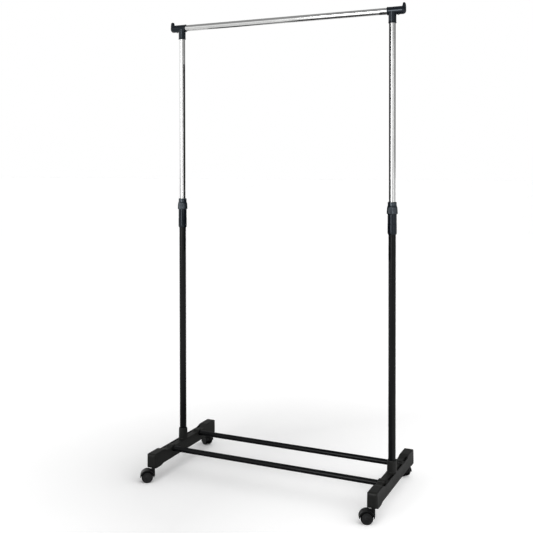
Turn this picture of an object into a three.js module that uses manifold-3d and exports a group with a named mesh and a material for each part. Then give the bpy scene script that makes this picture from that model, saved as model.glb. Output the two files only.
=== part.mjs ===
// Rolling clothes rack: a telescoping hanging rail on two posts, two moulded feet joined by two
// shoe rails, and four twin-wheel casters. Millimetres, +Z up, -Y is the front.
// The origin is on the floor, midway between the posts.

import * as THREE from 'three';
import { mergeVertices } from 'three/addons/utils/BufferGeometryUtils.js';
import Module from 'manifold-3d';

const wasm = await Module();
wasm.setup();

// ---- Driving dimensions -----------------------------------------------------------------------

const GAP = 0.3; // clearance between pieces that are fixed together
const TUBE_WALL = 0.8;

const POST_X = 365; // half the spacing of the two posts
const LOWER_POST_R = 11.15;
const UPPER_POST_R = 10;
const SHOE_RAIL_R = 8.5;
const HANGING_RAIL_R = 10;

const RAIL_Z = 1476; // axis of the hanging rail
const COLLAR_BOTTOM = 802.5; // lowest edge of the height collar
const COLLAR_R = 13.7; // its lower end is COLLAR_STEP wider, up to COLLAR_BAND_TOP
const COLLAR_STEP = 0.3;
const COLLAR_BAND_TOP = 834;
const LOWER_POST_TOP = 854.7;
const COLLAR_SHOULDER = 864; // top of the wide part of the collar sleeve
const NECK_TOP = 889; // top of the threaded neck that the nut covers
const THREAD_R = 12.3;
const COLLET_BOTTOM = 860.5;
const COLLET_R = 11.1;
const NUT_BOTTOM = 864.6;
const NUT_TOP = 901;
const NUT_GRIP_TOP = 886; // the flared, ribbed part ends here and a plain band begins
const NUT_FLARE_R = 16.7;
const NUT_BAND_R = 13.5;
const SLEEVE_BOTTOM = 1439; // lowest edge of the T connector
const UPPER_POST_TOP = 1460.5;
const UPPER_POST_BOTTOM = 636; // 169 mm below the top of the lower post

const FOOT_HALF_LENGTH = 203;
const FOOT_BOTTOM_HALF_WIDTH = 17;
const FOOT_TOP_HALF_WIDTH = 15;
const FOOT_CORNER_R = 9; // plan rounding of the foot's four corners
const BEAM_BOTTOM = 50.5; // underside between the end blocks
const BEAM_TOP = 84.5; // top between the end blocks
const BLOCK_BOTTOM = 47;
const BLOCK_TOP = 92;
const SOCKET_TOP = 120; // top of the collar of the foot around the post
const SOCKET_BOTTOM_R = 15;
const SOCKET_TOP_R = 13.6;
const SOCKET_FLOOR = 62;
const FLOOR_PLATE_BOTTOM = 56; // the bolt's washer sits against this

const SHOE_RAIL_Y = 88;
const SHOE_RAIL_Z = 77.5;
const SHOE_RAIL_REACH = 2.7; // how far a shoe rail runs past the post's axis
const RAIL_SCREW_INSET = 9; // from the post's axis towards the rack's centre

const STEM_Y = 189;
const STEM_R = 4;
const WHEEL_R = 18;
const WHEEL_INNER = 3.1; // from the caster's middle plane to a wheel's inner face
const WHEEL_OUTER = 13.3;
const TRAIL = 19; // from the stem's axis to the wheel's axle
const HOOD_R = 22.4;
const HOOD_CLEARANCE = 1.6; // between the hood and the wheels' treads
const HOOD_HALF_WIDTH = 13.6;
const CASTER_NECK_R = 5.5;
const AXLE_R = 2;

const T_RIM = 15.5; // inner rim of the T connector, from the post's axis
const T_END = 40.8; // outer end of the T connector, from the post's axis
const T_BODY_R = 12.1;
const T_SLEEVE_R = 11.8;
const RAIL_REACH = 23; // how far the hanging rail runs past the post's axis
const HOOK_TOP = 1498.5;
const T_SCREW_X = 18.5; // rail screw, from the post's axis
const T_SCREW_Z = 1449; // post screw

const TUBE_SIDES = 20;
const WHEEL_SIDES = 20;
const SMALL_SIDES = 10;
const SCREW_SIDES = 8;

// ---- Solids -----------------------------------------------------------------------------------

// A closed geometry as a solid that can be joined and cut.
function solidOf(geometry) {
  const bare = geometry.clone();
  bare.deleteAttribute('normal');
  bare.deleteAttribute('uv');
  const welded = mergeVertices(bare, 1e-4);
  const corners = [];
  for (let i = 0; i < welded.index.count; i += 3) {
    const [a, b, c] = [0, 1, 2].map((k) => welded.index.getX(i + k));
    if (a !== b && b !== c && c !== a) corners.push(a, b, c);
  }
  return new wasm.Manifold(new wasm.Mesh({
    numProp: 3,
    vertProperties: new Float32Array(welded.attributes.position.array),
    triVerts: new Uint32Array(corners),
  }));
}

function geometryOf(solid) {
  const mesh = solid.getMesh();
  const geometry = new THREE.BufferGeometry();
  geometry.setAttribute('position', new THREE.BufferAttribute(mesh.vertProperties, 3));
  geometry.setIndex(new THREE.BufferAttribute(mesh.triVerts, 1));
  return geometry;
}

function join(...geometries) {
  return geometryOf(geometries.map(solidOf).reduce((whole, next) => whole.add(next)));
}

function common(...geometries) {
  return geometryOf(geometries.map(solidOf).reduce((whole, next) => whole.intersect(next)));
}

function cut(geometry, ...tools) {
  const whole = solidOf(geometry);
  return geometryOf(tools.map(solidOf).reduce((left, tool) => left.subtract(tool), whole));
}

// The same geometry seen in a mirror across the plane X = 0.
function mirrored(geometry) {
  const copy = geometry.clone().scale(-1, 1, 1);
  for (let i = 0; i < copy.index.count; i += 3) {
    const second = copy.index.getX(i + 1);
    copy.index.setX(i + 1, copy.index.getX(i + 2));
    copy.index.setX(i + 2, second);
  }
  return copy;
}

// A turned piece: profile is a list of [radius, position along the axis], anticlockwise.
function turned(profile, axis, sides) {
  const points = profile.map(([radius, along]) => new THREE.Vector2(radius, along));
  const geometry = new THREE.LatheGeometry(points, sides);
  if (axis === 'x') geometry.rotateZ(-Math.PI / 2);
  if (axis === 'z') geometry.rotateX(Math.PI / 2);
  return geometry;
}

function rod(radius, from, to, axis, sides) {
  return turned([[0, from], [radius, from], [radius, to], [0, to]], axis, sides);
}

function ring(innerR, outerR, from, to, axis, sides) {
  const profile = [[innerR, from], [outerR, from], [outerR, to], [innerR, to], [innerR, from]];
  return turned(profile, axis, sides);
}

// An outline whose corners are [across, up] or [across, up, rounding].
function outline(corners) {
  const shape = new THREE.Shape();
  corners.forEach(([across, up, rounding = 0], i) => {
    const corner = new THREE.Vector2(across, up);
    const [before, after] = [corners.at(i - 1), corners[(i + 1) % corners.length]].map(
      ([a, b]) => corner.clone().add(new THREE.Vector2(a - across, b - up).setLength(rounding)),
    );
    if (i === 0) shape.moveTo(before.x, before.y);
    else shape.lineTo(before.x, before.y);
    if (rounding > 0) shape.quadraticCurveTo(across, up, after.x, after.y);
  });
  return shape;
}

// A prism along an axis. The outline is in (Y, Z) for x, in (X, Z) for y and in (X, Y) for z.
function prism(corners, axis, from, to, curveSegments = 2) {
  const options = { depth: to - from, bevelEnabled: false, curveSegments };
  const geometry = new THREE.ExtrudeGeometry(outline(corners), options);
  const [X, Y, Z] = [[1, 0, 0], [0, 1, 0], [0, 0, 1]].map((v) => new THREE.Vector3(...v));
  const turn = new THREE.Matrix4();
  if (axis === 'x') geometry.applyMatrix4(turn.makeBasis(Y, Z, X)).translate(from, 0, 0);
  if (axis === 'y') geometry.applyMatrix4(turn.makeBasis(X, Z, Y.clone().negate())).translate(0, to, 0);
  if (axis === 'z') geometry.translate(0, 0, from);
  return geometry;
}

function box(low, high) {
  const size = high.map((top, i) => top - low[i]);
  const middle = high.map((top, i) => (top + low[i]) / 2);
  return new THREE.BoxGeometry(...size).translate(...middle);
}

function hollowTube(radius, from, to, axis) {
  return ring(radius - TUBE_WALL, radius, from, to, axis, TUBE_SIDES);
}

// A pan-head screw along an axis: the head's underside is at seat and its tip at tip.
function screw(headR, headHeight, shankR, seat, tip, axis) {
  const way = Math.sign(tip - seat);
  const profile = [
    [0, seat - way * headHeight],
    [headR, seat - way * headHeight * 0.6],
    [headR, seat],
    [shankR, seat],
    [shankR, tip - way * shankR],
    [0, tip],
  ];
  return turned(way > 0 ? profile : profile.reverse(), axis, SCREW_SIDES);
}

// ---- Finishes ---------------------------------------------------------------------------------

const FINISHES = {
  blackPlastic: { color: 0x232528, roughness: 0.55, metalness: 0 },
  blackPaint: { color: 0x141517, roughness: 0.35, metalness: 0.2 },
  brightSteel: { color: 0xd4d6d8, roughness: 0.16, metalness: 1 },
  zinc: { color: 0xa7a9ab, roughness: 0.38, metalness: 1 },
  whiteNylon: { color: 0xd9d8d2, roughness: 0.5, metalness: 0 },
  wheelPlastic: { color: 0x1b1c1e, roughness: 0.45, metalness: 0 },
};

const rack = new THREE.Group();

function addPiece(group, name, geometry, finish) {
  const mesh = new THREE.Mesh(geometry, new THREE.MeshStandardMaterial(FINISHES[finish]));
  mesh.name = name;
  group.add(mesh);
  return mesh;
}

// Each side is drawn with +X pointing outwards, away from the rack's middle.
const SIDES = [
  { side: 'left', sign: -1 },
  { side: 'right', sign: 1 },
];
const ENDS = [
  { end: 'front', sign: -1 },
  { end: 'rear', sign: 1 },
];

// Direction in which each caster's wheels trail from its stem at rest, in degrees from +X.
const CASTER_HEADING = {
  front_left: 212,
  front_right: 202,
  rear_left: 152,
  rear_right: 148,
};

function addToSide({ side, sign }, name, geometry, finish) {
  const placed = sign < 0 ? mirrored(mergeVertices(geometry)) : geometry;
  addPiece(rack, `${name}_${side}`, placed, finish).position.x = sign * POST_X;
}

// ---- Foot -------------------------------------------------------------------------------------

const BELOW = 40; // any level under the foot, where cuts from below begin
const ABOVE = 130; // any level over the foot, where cuts from above end
const SCREW_RECESS_TOP = 54;
const SLOT_INNER = 6.5; // the slots behind the outer wall, from the foot's middle plane
const SLOT_FLOOR = 63;
const OUTER_WALL = 2.8;
const SLOT_SPANS = [[19, 72], [99, 134]]; // along the foot, from the post
const HOLLOW_SPANS = [[22, 70], [108, 160]]; // the hollows of the underside
const HOLLOW_INNER_WALL = 3;
const HOLLOW_OUTER = 3.5;
const TOP_SKIN = 4.5;

// One half of the foot's side view, from the middle to the end, then mirrored to the other end.
function footSideView() {
  const L = FOOT_HALF_LENGTH;
  const bottom = [[154, BEAM_BOTTOM], [166, BLOCK_BOTTOM], [L, BLOCK_BOTTOM, 6]];
  const top = [[L, BLOCK_TOP, 6], [142, BLOCK_TOP, 6], [124, BEAM_TOP, 6]];
  const half = [...bottom, ...top];
  const otherHalf = half.map(([y, z, rounding]) => [-y, z, rounding]).reverse();
  return [...half, ...otherHalf];
}

function footShell() {
  const L = FOOT_HALF_LENGTH;
  const W = FOOT_BOTTOM_HALF_WIDTH;
  const w = FOOT_TOP_HALF_WIDTH;
  const R = FOOT_CORNER_R;
  const side = prism(footSideView(), 'x', -W - 1, W + 1);
  const plan = prism([[W, -L, R], [W, L, R], [-W, L, R], [-W, -L, R]], 'z', BELOW, BLOCK_TOP + 1);
  const section = prism(
    [[-W, BLOCK_BOTTOM], [W, BLOCK_BOTTOM], [w, BLOCK_TOP, 3], [-w, BLOCK_TOP, 3]],
    'y', -L - 1, L + 1,
  );
  return common(side, plan, section);
}

// The raised housing around the end of a shoe rail.
function railBoss(sign) {
  const reach = SHOE_RAIL_R + 3.5;
  const middle = sign * SHOE_RAIL_Y;
  const top = SHOE_RAIL_Z + SHOE_RAIL_R + 3.8;
  return prism(
    [
      [middle - reach, BEAM_BOTTOM + 2],
      [middle + reach, BEAM_BOTTOM + 2],
      [middle + reach, top, 6],
      [middle - reach, top, 6],
    ],
    'x', -FOOT_TOP_HALF_WIDTH - 0.6, SHOE_RAIL_REACH + 2.5,
  );
}

function footCuts() {
  const postHole = rod(LOWER_POST_R + GAP, SOCKET_FLOOR, ABOVE, 'z', TUBE_SIDES);
  const boltHole = rod(3.4, BELOW, SOCKET_FLOOR + 1, 'z', SMALL_SIDES);
  const boltRecess = rod(8, BELOW, FLOOR_PLATE_BOTTOM, 'z', SMALL_SIDES);
  const cuts = [postHole, boltHole, boltRecess];
  for (const { sign } of ENDS) {
    const railHole = rod(SHOE_RAIL_R + GAP, -30, SHOE_RAIL_REACH + GAP, 'x', TUBE_SIDES);
    const screwHole = rod(1.9, BELOW, SHOE_RAIL_Z, 'z', SCREW_SIDES);
    const screwRecess = rod(4.2, BELOW, SCREW_RECESS_TOP, 'z', SCREW_SIDES);
    const stemHole = rod(STEM_R + 1.8, BELOW, BLOCK_TOP - 6, 'z', SMALL_SIDES);
    cuts.push(
      railHole.translate(0, sign * SHOE_RAIL_Y, SHOE_RAIL_Z),
      screwHole.translate(-RAIL_SCREW_INSET, sign * SHOE_RAIL_Y, 0),
      screwRecess.translate(-RAIL_SCREW_INSET, sign * SHOE_RAIL_Y, 0),
      stemHole.translate(0, sign * STEM_Y, 0),
    );
    for (const [near, far] of SLOT_SPANS) {
      const [low, high] = sign > 0 ? [near, far] : [-far, -near];
      const outer = FOOT_TOP_HALF_WIDTH - OUTER_WALL;
      cuts.push(box([SLOT_INNER, low, SLOT_FLOOR], [outer, high, ABOVE]));
    }
    for (const [near, far] of HOLLOW_SPANS) {
      const [low, high] = sign > 0 ? [near, far] : [-far, -near];
      const inner = HOLLOW_INNER_WALL - FOOT_TOP_HALF_WIDTH;
      cuts.push(box([inner, low, BELOW], [HOLLOW_OUTER, high, BEAM_TOP - TOP_SKIN]));
    }
  }
  return cuts;
}

function foot() {
  const socket = turned(
    [
      [0, SOCKET_FLOOR],
      [SOCKET_BOTTOM_R, SOCKET_FLOOR],
      [SOCKET_BOTTOM_R, BEAM_TOP + 6],
      [SOCKET_TOP_R + 0.6, SOCKET_TOP - 2],
      [SOCKET_TOP_R, SOCKET_TOP],
      [0, SOCKET_TOP],
    ],
    'z', TUBE_SIDES,
  );
  const solid = join(footShell(), socket, ...ENDS.map(({ sign }) => railBoss(sign)));
  return cut(solid, ...footCuts());
}

// ---- Posts, collars and lock nuts -------------------------------------------------------------

function collarSleeve() {
  const bore = LOWER_POST_R + GAP;
  const stop = LOWER_POST_TOP + GAP;
  const low = COLLAR_R + COLLAR_STEP;
  return turned(
    [
      [bore, COLLAR_BOTTOM],
      [low - 1.3, COLLAR_BOTTOM],
      [low, COLLAR_BOTTOM + 4],
      [low, COLLAR_BAND_TOP],
      [COLLAR_R, COLLAR_BAND_TOP + 1],
      [COLLAR_R, COLLAR_SHOULDER],
      [THREAD_R, COLLAR_SHOULDER],
      [THREAD_R, NECK_TOP],
      [COLLET_R + GAP, NECK_TOP],
      [COLLET_R + GAP, COLLET_BOTTOM - GAP],
      [UPPER_POST_R + 0.5, COLLET_BOTTOM - GAP],
      [UPPER_POST_R + 0.5, stop],
      [bore, stop],
      [bore, COLLAR_BOTTOM],
    ],
    'z', TUBE_SIDES,
  );
}

// A ring slit from the top in four places, so that the nut can squeeze it onto the upper post.
function collet() {
  const bore = UPPER_POST_R + 0.2;
  const rim = NECK_TOP + GAP;
  const body = turned(
    [
      [bore, COLLET_BOTTOM],
      [COLLET_R, COLLET_BOTTOM],
      [COLLET_R, rim],
      [THREAD_R - 0.3, rim],
      [THREAD_R - 0.3, rim + 2.5],
      [bore, rim + 2.5],
      [bore, COLLET_BOTTOM],
    ],
    'z', TUBE_SIDES,
  );
  const slit = 0.6;
  const reach = 20;
  const slitBottom = COLLET_BOTTOM + 6;
  return cut(
    body,
    box([-reach, -slit, slitBottom], [reach, slit, NUT_TOP]),
    box([-slit, -reach, slitBottom], [slit, reach, NUT_TOP]),
  );
}

function lockNut() {
  const bore = UPPER_POST_R + 0.4;
  const threads = THREAD_R + GAP;
  const lip = NECK_TOP + 3.8;
  return turned(
    [
      [threads, NUT_BOTTOM],
      [NUT_FLARE_R - 0.5, NUT_BOTTOM],
      [NUT_FLARE_R, NUT_BOTTOM + 1.5],
      [NUT_FLARE_R - 1.1, NUT_GRIP_TOP - 2.5],
      [NUT_BAND_R + 0.9, NUT_GRIP_TOP],
      [NUT_BAND_R, NUT_GRIP_TOP + 2.5],
      [NUT_BAND_R, NUT_TOP - 1.2],
      [NUT_BAND_R - 0.7, NUT_TOP],
      [bore, NUT_TOP],
      [bore, lip],
      [threads, lip],
      [threads, NUT_BOTTOM],
    ],
    'z', TUBE_SIDES,
  );
}

// The plug that centres the upper post in the lower one.
function guidePlug() {
  const head = LOWER_POST_R - TUBE_WALL - 0.2;
  const spigot = UPPER_POST_R - TUBE_WALL - GAP;
  const seat = UPPER_POST_BOTTOM - GAP;
  return turned(
    [
      [0, seat - 8],
      [head, seat - 8],
      [head, seat],
      [spigot, seat],
      [spigot, seat + 18],
      [0, seat + 18],
    ],
    'z', TUBE_SIDES,
  );
}

// The upper post has a hole at the back for the T connector's screw.
function upperPost() {
  const tube = hollowTube(UPPER_POST_R, UPPER_POST_BOTTOM, UPPER_POST_TOP, 'z');
  const hole = rod(1.7, UPPER_POST_R - 4, UPPER_POST_R + 4, 'y', SCREW_SIDES);
  return cut(tube, hole.translate(0, 0, T_SCREW_Z));
}

function postPlug() {
  const outer = LOWER_POST_R - TUBE_WALL - GAP;
  return ring(3.3, outer, SOCKET_FLOOR + 0.6, SOCKET_FLOOR + 18, 'z', SMALL_SIDES);
}

// A hexagon-head bolt from below.
function postBolt() {
  const seat = FLOOR_PLATE_BOTTOM - 1.6;
  const head = rod(5.8, seat - 3.6, seat, 'z', 6);
  const shank = rod(3, seat - 1, SOCKET_FLOOR + 16.5, 'z', SMALL_SIDES);
  return join(head, shank);
}

function postWasher() {
  return ring(3.4, 7.4, FLOOR_PLATE_BOTTOM - 1.3, FLOOR_PLATE_BOTTOM - GAP, 'z', SMALL_SIDES);
}

// ---- T connector ------------------------------------------------------------------------------

// The upturned end that keeps hangers on and carries a bag: its side view and its front view.
function hook() {
  const side = [
    [T_END - 10, RAIL_Z],
    [T_END - 0.5, RAIL_Z],
    [T_END, RAIL_Z + 6, 3],
    [T_END - 0.6, HOOK_TOP - 6, 3],
    [T_END - 2.6, HOOK_TOP, 1.9],
    [T_END - 7.2, HOOK_TOP, 1.9],
    [T_END - 8, HOOK_TOP - 8, 3],
    [T_END - 11, RAIL_Z + T_BODY_R - 1, 1],
  ];
  const front = [[-8, RAIL_Z], [8, RAIL_Z], [5.5, HOOK_TOP, 5], [-5.5, HOOK_TOP, 5]];
  return common(prism(side, 'y', -10, 10), prism(front, 'x', T_END - 14, T_END + 1));
}

function tConnector() {
  const body = turned(
    [
      [0, -T_RIM],
      [T_BODY_R, -T_RIM],
      [T_BODY_R, T_END - 5],
      [T_BODY_R - 1.5, T_END - 1.5],
      [T_BODY_R - 5, T_END],
      [0, T_END],
    ],
    'x', TUBE_SIDES,
  ).translate(0, 0, RAIL_Z);
  const sleeve = rod(T_SLEEVE_R, SLEEVE_BOTTOM, RAIL_Z, 'z', TUBE_SIDES);
  const railBore = rod(HANGING_RAIL_R + GAP, -T_RIM - 1, RAIL_REACH + GAP, 'x', TUBE_SIDES);
  const postBore = rod(UPPER_POST_R + GAP, SLEEVE_BOTTOM - 1, UPPER_POST_TOP + GAP, 'z', TUBE_SIDES);
  const railScrewHole = rod(1.7, RAIL_Z - T_BODY_R - 2, RAIL_Z, 'z', SCREW_SIDES);
  const postScrewHole = rod(1.7, 0, T_SLEEVE_R + 2, 'y', SCREW_SIDES);
  return cut(
    join(body, sleeve, hook()),
    railBore.translate(0, 0, RAIL_Z),
    postBore,
    railScrewHole.translate(T_SCREW_X, 0, 0),
    postScrewHole.translate(0, 0, T_SCREW_Z),
  );
}

function hangingRail() {
  const half = POST_X + RAIL_REACH;
  const tube = hollowTube(HANGING_RAIL_R, -half, half, 'x').translate(0, 0, RAIL_Z);
  const holes = SIDES.map(({ sign }) => {
    const hole = rod(1.7, RAIL_Z - HANGING_RAIL_R - 3, RAIL_Z - HANGING_RAIL_R + 4, 'z', SCREW_SIDES);
    return hole.translate(sign * (POST_X + T_SCREW_X), 0, 0);
  });
  return cut(tube, ...holes);
}

// ---- Shoe rails -------------------------------------------------------------------------------

function shoeRail(y) {
  const half = POST_X + SHOE_RAIL_REACH;
  const tube = hollowTube(SHOE_RAIL_R, -half, half, 'x').translate(0, y, SHOE_RAIL_Z);
  const holes = SIDES.map(({ sign }) => {
    const hole = rod(1.9, SHOE_RAIL_Z - SHOE_RAIL_R - 3, SHOE_RAIL_Z - 3, 'z', SCREW_SIDES);
    return hole.translate(sign * (POST_X - RAIL_SCREW_INSET), y, 0);
  });
  return cut(tube, ...holes);
}

// ---- Caster, drawn with its stem on the Z axis and its wheels trailing towards +X ---------------

const HOOD_NECK_TOP = BLOCK_BOTTOM - 1.7; // the stem's flange sits on this
const STEM_BOTTOM = 36;
const GROOVE_BOTTOM = 70;
const GROOVE_TOP = 74;
const BRACKET_HALF_WIDTH = 4; // the hood's gusset between its neck and its top

function casterStem() {
  const flange = CASTER_NECK_R + 0.5;
  const groove = STEM_R - 0.8;
  return turned(
    [
      [0, STEM_BOTTOM],
      [STEM_R, STEM_BOTTOM],
      [STEM_R, HOOD_NECK_TOP + GAP],
      [flange, HOOD_NECK_TOP + GAP],
      [flange, BLOCK_BOTTOM - GAP],
      [STEM_R, BLOCK_BOTTOM - GAP],
      [STEM_R, GROOVE_BOTTOM],
      [groove, GROOVE_BOTTOM],
      [groove, GROOVE_TOP],
      [STEM_R, GROOVE_TOP],
      [STEM_R, 83],
      [0, 85],
    ],
    'z', SMALL_SIDES,
  );
}

// A spring ring with a slit, in the stem's groove.
function gripRing() {
  const [low, high] = [GROOVE_BOTTOM + GAP, GROOVE_TOP - GAP];
  const whole = ring(STEM_R - 0.5, STEM_R + 1.5, low, high, 'z', SMALL_SIDES);
  return cut(whole, box([0, -1, low - 1], [STEM_R + 3, 1, high + 1]));
}

// The fender over both wheels, the web between them, and the neck around the stem.
function casterHood() {
  const arc = [];
  const steps = 14;
  for (let i = 0; i <= steps; i += 1) {
    const angle = (Math.PI * i) / steps;
    arc.push([TRAIL + HOOD_R * Math.cos(angle), WHEEL_R + HOOD_R * Math.sin(angle)]);
  }
  const toAxle = (geometry) => geometry.translate(TRAIL, 0, WHEEL_R);
  const web = WHEEL_INNER - 0.5;
  const fender = prism(arc, 'y', -HOOD_HALF_WIDTH, HOOD_HALF_WIDTH);
  const axleBoss = toAxle(rod(5, -web, web, 'y', SMALL_SIDES));
  const neck = rod(CASTER_NECK_R, WHEEL_R, HOOD_NECK_TOP, 'z', SMALL_SIDES);
  const bracket = prism(
    [
      [0, WHEEL_R + 4],
      [TRAIL, WHEEL_R + 4],
      [TRAIL, WHEEL_R + HOOD_R],
      [TRAIL / 2, HOOD_NECK_TOP - 4],
      [0, HOOD_NECK_TOP - 3],
    ],
    'y', -BRACKET_HALF_WIDTH, BRACKET_HALF_WIDTH,
  );
  const space = WHEEL_R + HOOD_CLEARANCE;
  const wheelSpace = (from, to) => toAxle(rod(space, from, to, 'y', TUBE_SIDES));
  return cut(
    join(fender, axleBoss, neck, bracket),
    wheelSpace(web, HOOD_HALF_WIDTH + 2),
    wheelSpace(-HOOD_HALF_WIDTH - 2, -web),
    toAxle(rod(AXLE_R + GAP, -web - 1, web + 1, 'y', SMALL_SIDES)),
    rod(STEM_R + GAP, STEM_BOTTOM - GAP, HOOD_NECK_TOP + 1, 'z', SMALL_SIDES),
  );
}

// One wheel on the +Y side: a blind bore inside and a shallow dish outside.
function casterWheel() {
  return turned(
    [
      [0, WHEEL_OUTER - 2],
      [AXLE_R + GAP, WHEEL_OUTER - 2],
      [AXLE_R + GAP, WHEEL_INNER],
      [WHEEL_R, WHEEL_INNER],
      [WHEEL_R, WHEEL_OUTER - 1.5],
      [WHEEL_R - 1.5, WHEEL_OUTER],
      [0, WHEEL_OUTER - 0.8],
    ],
    'y', WHEEL_SIDES,
  ).translate(TRAIL, 0, WHEEL_R);
}

function casterAxle() {
  const half = WHEEL_OUTER - 2 - GAP;
  return rod(AXLE_R, -half, half, 'y', SMALL_SIDES).translate(TRAIL, 0, WHEEL_R);
}

// ---- Assembly ---------------------------------------------------------------------------------

for (const side of SIDES) {
  addToSide(side, 'foot', foot(), 'blackPlastic');
  const lowerPost = hollowTube(LOWER_POST_R, SOCKET_FLOOR + GAP, LOWER_POST_TOP, 'z');
  addToSide(side, 'lower_post', lowerPost, 'blackPaint');
  addToSide(side, 'post_plug', postPlug(), 'zinc');
  addToSide(side, 'post_bolt', postBolt(), 'zinc');
  addToSide(side, 'post_washer', postWasher(), 'zinc');
  addToSide(side, 'collar_sleeve', collarSleeve(), 'blackPlastic');
  addToSide(side, 'collet', collet(), 'whiteNylon');
  addToSide(side, 'lock_nut', lockNut(), 'blackPlastic');
  addToSide(side, 'upper_post', upperPost(), 'brightSteel');
  addToSide(side, 'guide_plug', guidePlug(), 'whiteNylon');
  addToSide(side, 't_connector', tConnector(), 'blackPlastic');
  const postScrew = screw(3.2, 1.8, 1.4, T_SLEEVE_R + GAP, UPPER_POST_R - 3, 'y');
  addToSide(side, 't_post_screw', postScrew.translate(0, 0, T_SCREW_Z), 'zinc');
  const railScrewSeat = RAIL_Z - T_BODY_R - GAP;
  const railScrew = screw(3.2, 1.8, 1.4, railScrewSeat, railScrewSeat + 6, 'z');
  addToSide(side, 't_rail_screw', railScrew.translate(T_SCREW_X, 0, 0), 'zinc');
}

addPiece(rack, 'hanging_rail', hangingRail(), 'brightSteel');

for (const { end, sign } of ENDS) {
  addPiece(rack, `shoe_rail_${end}`, shoeRail(sign * SHOE_RAIL_Y), 'blackPaint');
  for (const { side, sign: outwards } of SIDES) {
    const railScrew = screw(3.6, 2, 1.5, SCREW_RECESS_TOP - GAP, SHOE_RAIL_Z - 4, 'z');
    const place = addPiece(rack, `rail_screw_${end}_${side}`, railScrew, 'zinc').position;
    place.set(outwards * (POST_X - RAIL_SCREW_INSET), sign * SHOE_RAIL_Y, 0);

    const caster = new THREE.Group();
    caster.position.set(outwards * POST_X, sign * STEM_Y, 0);
    const corner = `${end}_${side}`;
    caster.rotation.z = THREE.MathUtils.degToRad(CASTER_HEADING[corner]);
    rack.add(caster);
    addPiece(caster, `caster_stem_${corner}`, casterStem(), 'zinc');
    addPiece(caster, `grip_ring_${corner}`, gripRing(), 'zinc');
    addPiece(caster, `caster_hood_${corner}`, casterHood(), 'blackPlastic');
    addPiece(caster, `caster_axle_${corner}`, casterAxle(), 'zinc');
    addPiece(caster, `caster_wheel_${corner}_front`, casterWheel(), 'wheelPlastic');
    const backWheel = casterWheel().translate(-TRAIL, 0, 0).rotateZ(Math.PI).translate(TRAIL, 0, 0);
    addPiece(caster, `caster_wheel_${corner}_back`, backWheel, 'wheelPlastic');
  }
}

export default rack;
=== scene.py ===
# Looks of the rolling clothes rack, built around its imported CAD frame.
# Lengths inside the piece functions are millimetres; MM turns them into the frame's metres.

import math

import bmesh
import bpy
from mathutils import Matrix, Vector


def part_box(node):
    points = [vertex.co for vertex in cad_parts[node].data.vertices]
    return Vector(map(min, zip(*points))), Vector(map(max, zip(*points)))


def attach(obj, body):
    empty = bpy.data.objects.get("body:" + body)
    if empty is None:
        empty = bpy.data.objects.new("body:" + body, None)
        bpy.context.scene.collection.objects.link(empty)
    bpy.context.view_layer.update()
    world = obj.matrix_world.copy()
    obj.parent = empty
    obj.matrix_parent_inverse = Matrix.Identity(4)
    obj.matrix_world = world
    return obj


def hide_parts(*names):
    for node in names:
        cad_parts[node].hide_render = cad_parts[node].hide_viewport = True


MM = 0.001

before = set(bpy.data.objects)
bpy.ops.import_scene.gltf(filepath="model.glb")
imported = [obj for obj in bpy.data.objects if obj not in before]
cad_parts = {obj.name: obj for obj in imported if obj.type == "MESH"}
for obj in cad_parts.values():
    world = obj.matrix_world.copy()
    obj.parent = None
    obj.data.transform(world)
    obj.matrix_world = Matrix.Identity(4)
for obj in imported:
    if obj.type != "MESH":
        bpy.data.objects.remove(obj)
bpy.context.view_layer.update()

SIDES = ("left", "right")
ENDS = ("front", "rear")
CORNERS = [f"{end}_{side}" for end in ENDS for side in SIDES]
OUTWARD = {"left": -1, "right": 1}
ENDWARD = {"front": -1, "rear": 1}


def centre(node):
    low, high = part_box(node)
    return (low + high) / 2


POST_X = {side: centre(f"lower_post_{side}").x / MM for side in SIDES}

# ---- Mesh helpers -------------------------------------------------------------------------------


MERGE_M = 1e-7  # vertices closer than this are one


def new_object(name, bm):
    bmesh.ops.remove_doubles(bm, verts=bm.verts, dist=MERGE_M)
    bmesh.ops.recalc_face_normals(bm, faces=bm.faces)
    mesh = bpy.data.meshes.new(name)
    bm.to_mesh(mesh)
    bm.free()
    obj = bpy.data.objects.new(name, mesh)
    bpy.context.scene.collection.objects.link(obj)
    return obj


def shade(obj, sharp_deg=32):
    """Smooth shading, kept sharp where faces meet at more than sharp_deg."""
    for face in obj.data.polygons:
        face.use_smooth = True
    if sharp_deg is not None:
        obj.data.set_sharp_from_angle(angle=math.radians(sharp_deg))
    return obj


def apply_modifiers(obj):
    graph = bpy.context.evaluated_depsgraph_get()
    mesh = bpy.data.meshes.new_from_object(obj.evaluated_get(graph))
    old = obj.data
    obj.modifiers.clear()
    obj.data = mesh
    bpy.data.meshes.remove(old)
    return obj


def discard(obj):
    mesh = obj.data
    bpy.data.objects.remove(obj)
    bpy.data.meshes.remove(mesh)


def combine(base, operation, *tools):
    """base joined with, cut by or limited to the tools, which are used up."""
    for tool in tools:
        modifier = base.modifiers.new("combine", "BOOLEAN")
        modifier.operation = operation
        modifier.solver = "EXACT"
        modifier.object = tool
    apply_modifiers(base)
    for tool in tools:
        discard(tool)
    return base


def joined(base, *others):
    """One mesh with the shells of all the pieces, which moulded() then melts into one skin."""
    bm = bmesh.new()
    for piece in (base, *others):
        bm.from_mesh(piece.data)
    bm.to_mesh(base.data)
    bm.free()
    for piece in others:
        discard(piece)
    return base


def moulded(obj, voxel, rounds):
    """Gives a piece the small soft edges of a moulding: an even mesh, then rounds of smoothing."""
    remesh = obj.modifiers.new("even", "REMESH")
    remesh.mode = "VOXEL"
    remesh.voxel_size = voxel * MM
    remesh.use_smooth_shade = True
    smooth = obj.modifiers.new("soften", "SMOOTH")
    smooth.factor = 0.5
    smooth.iterations = rounds
    apply_modifiers(obj)
    return shade(obj, None)


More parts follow.
